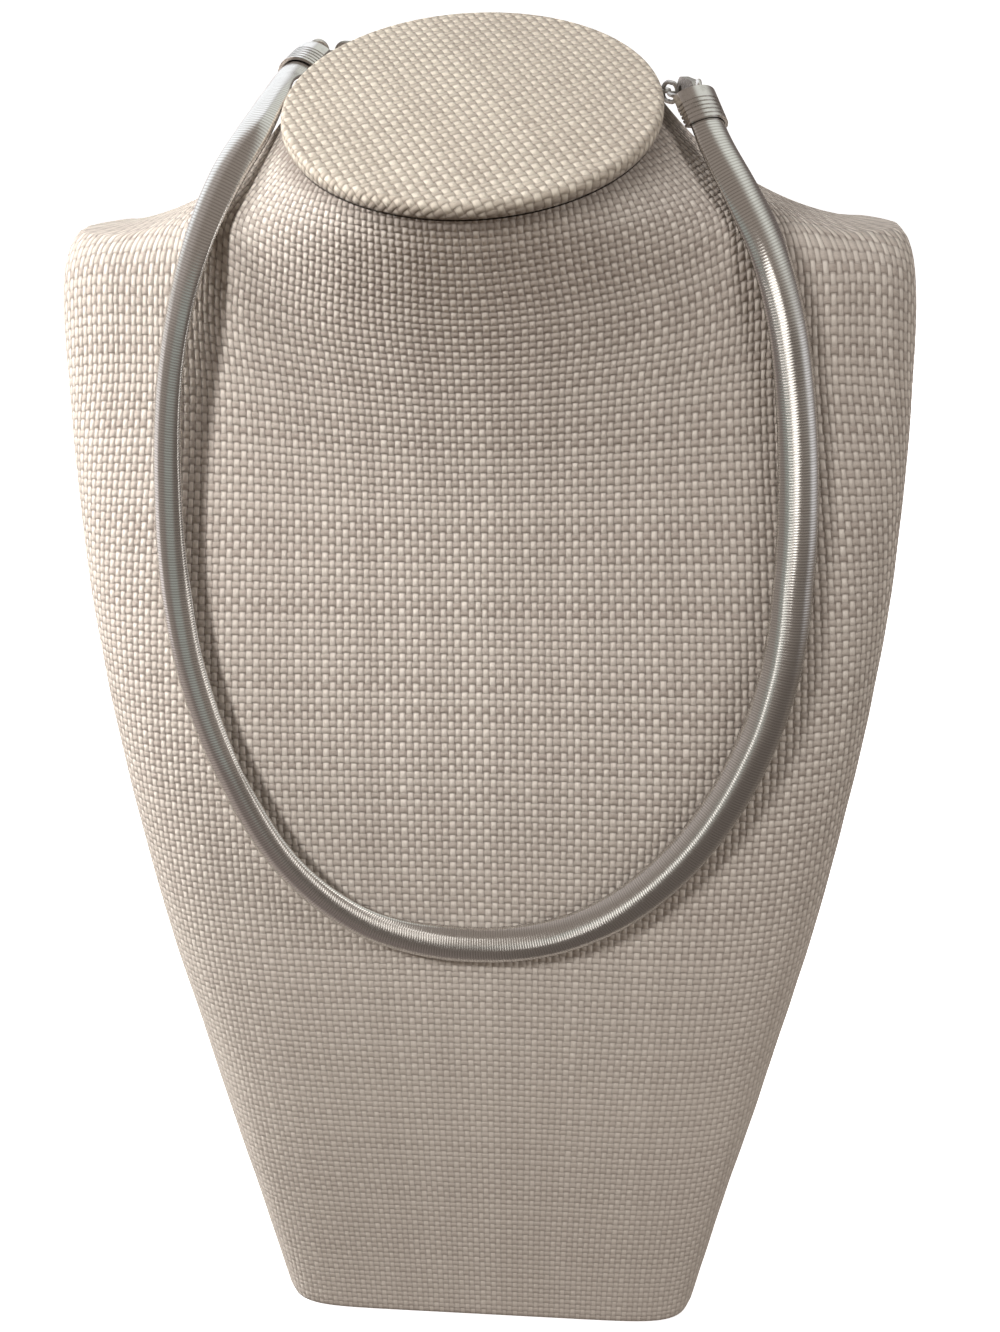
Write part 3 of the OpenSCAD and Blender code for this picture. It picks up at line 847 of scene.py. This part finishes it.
def makeBandPolish():
    s = band
    shader = Shader(bpy.data.materials.new("band_polish"))
    rib, across, groove = shader.attribute("bandCoords")
    plate = shader.random(rib.maths("FLOOR") + 0.5)
    streakPlace = shader.vector(rib * s["streakAlong"], across * s["streakAcross"])
    streak = shader.noise(streakPlace, 1.0, s["streakDetail"])
    cloud = shader.noise(shader.coordinates("Object"), s["cloudScale"], s["cloudDetail"])
    dull = shader.clamp(groove * s["grooveShare"])
    tone = s["middleTone"] + (plate - 0.5) * s["plateTone"] + (cloud - 0.5) * s["cloudTone"]
    colour = shader.mix(shader.clamp(tone), s["colour"], tuple(c * s["shade"] for c in s["colour"]))
    roughness = s["roughness"] + (streak - 0.5) * s["streakRough"] + (plate - 0.5) * s["plateRough"]
    return shader.surface({
        "Base Color": shader.mix(dull, colour, s["groove"]), "Metallic": 1.0,
        "Roughness": roughness + dull * s["grooveRough"],
    })


def buildBand():
    s = band
    profile = np.array(s["ribProfile"])
    place, side, face, at = bandFrames(s["ribPitch"] / len(profile))
    # the dome is an arc over the two upright edges
    radius = ((s["width"] / 2) ** 2 + s["dome"] ** 2) / (2 * s["dome"])
    centre = s["edge"] + s["dome"] - radius
    spread = math.asin(s["width"] / 2 / radius)
    angle = (spread * np.linspace(-1, 1, s["across"]))[None, :]
    rise = (profile[np.arange(len(at)) % len(profile)] * s["ribDepth"])[:, None]
    across = radius * np.sin(angle) + rise * np.sin(angle)
    depth = centre + radius * np.cos(angle) + rise * np.cos(angle)
    edge = s["width"] / 2 + rise * s["edgeRise"]
    across = np.concatenate([-edge, across, edge], 1)
    depth = np.concatenate([0 * edge, depth, 0 * edge], 1)
    points = place[:, None] + across[..., None] * side[:, None] + depth[..., None] * face[:, None]
    rows, columns = points.shape[:2]
    strip = makeObject("omega_strip", points.reshape(-1, 3) * mm, gridFaces(rows, columns, True))
    ribs = at[:, None] / s["ribPitch"]
    shares = np.concatenate([[-1], np.linspace(-1, 1, s["across"]), [1]])[None]
    coords = np.broadcast_arrays(ribs, shares, rise / -s["ribDepth"])
    addVectors(strip, "bandCoords", np.stack(coords, -1))
    strip.data.materials.append(makeBandPolish())
    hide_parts("omega_band")
    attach(strip, "root")


buildBand()
print("omega band ready")


# the end caps, ring, clasp and links keep their own shapes: scales are per metre, relief in metres
fittings = dict(
    cap=(0.74, 0.72, 0.70), capDark=(0.30, 0.27, 0.24), capRoughness=0.20, capScale=700.0,
    chain=(0.46, 0.44, 0.42), chainDark=(0.16, 0.135, 0.115), chainRoughness=0.28, chainScale=900.0,
    wearDetail=4.0, scratchDetail=3.0, scratchScale=(2600.0, 500.0, 500.0),
    stainFrom=0.48, stainRise=2.6, stainShare=0.45,
    wearRough=0.20, scratchRough=0.12, scratchRelief=0.3, wearRelief=0.4, relief=0.00003, strength=0.6,
)


def makeFittingMetal(name, colour, dark, roughness, scale):
    s = fittings
    shader = Shader(bpy.data.materials.new(name))
    place = shader.coordinates("Object")
    wear = shader.noise(place, scale, s["wearDetail"])
    drawn = shader.node("ShaderNodeVectorMath", dict(operation="MULTIPLY"), {0: place, 1: s["scratchScale"]})
    scratch = shader.noise(drawn, 1.0, s["scratchDetail"])
    stain = shader.clamp((wear - s["stainFrom"]) * s["stainRise"])
    height = scratch * s["scratchRelief"] + wear * s["wearRelief"]
    return shader.surface({
        "Base Color": shader.mix(stain * s["stainShare"], colour, dark), "Metallic": 1.0,
        "Roughness": roughness + (wear - 0.5) * s["wearRough"] + (scratch - 0.5) * s["scratchRough"],
        "Normal": shader.bump(height, s["relief"], s["strength"]),
    })


def dressFittings():
    s = fittings
    capMetal = makeFittingMetal("end_cap_polish", s["cap"], s["capDark"], s["capRoughness"], s["capScale"])
    chainMetal = makeFittingMetal(
        "chain_brushed", s["chain"], s["chainDark"], s["chainRoughness"], s["chainScale"])
    for name, node in nodes.items():
        if name.startswith("end_cap"):
            metal = capMetal
        elif name.startswith("link_") or name in ("jump_ring", "clasp"):
            metal = chainMetal
        else:
            continue
        node.data.materials.clear()
        node.data.materials.append(metal)


dressFittings()
print("fittings ready")
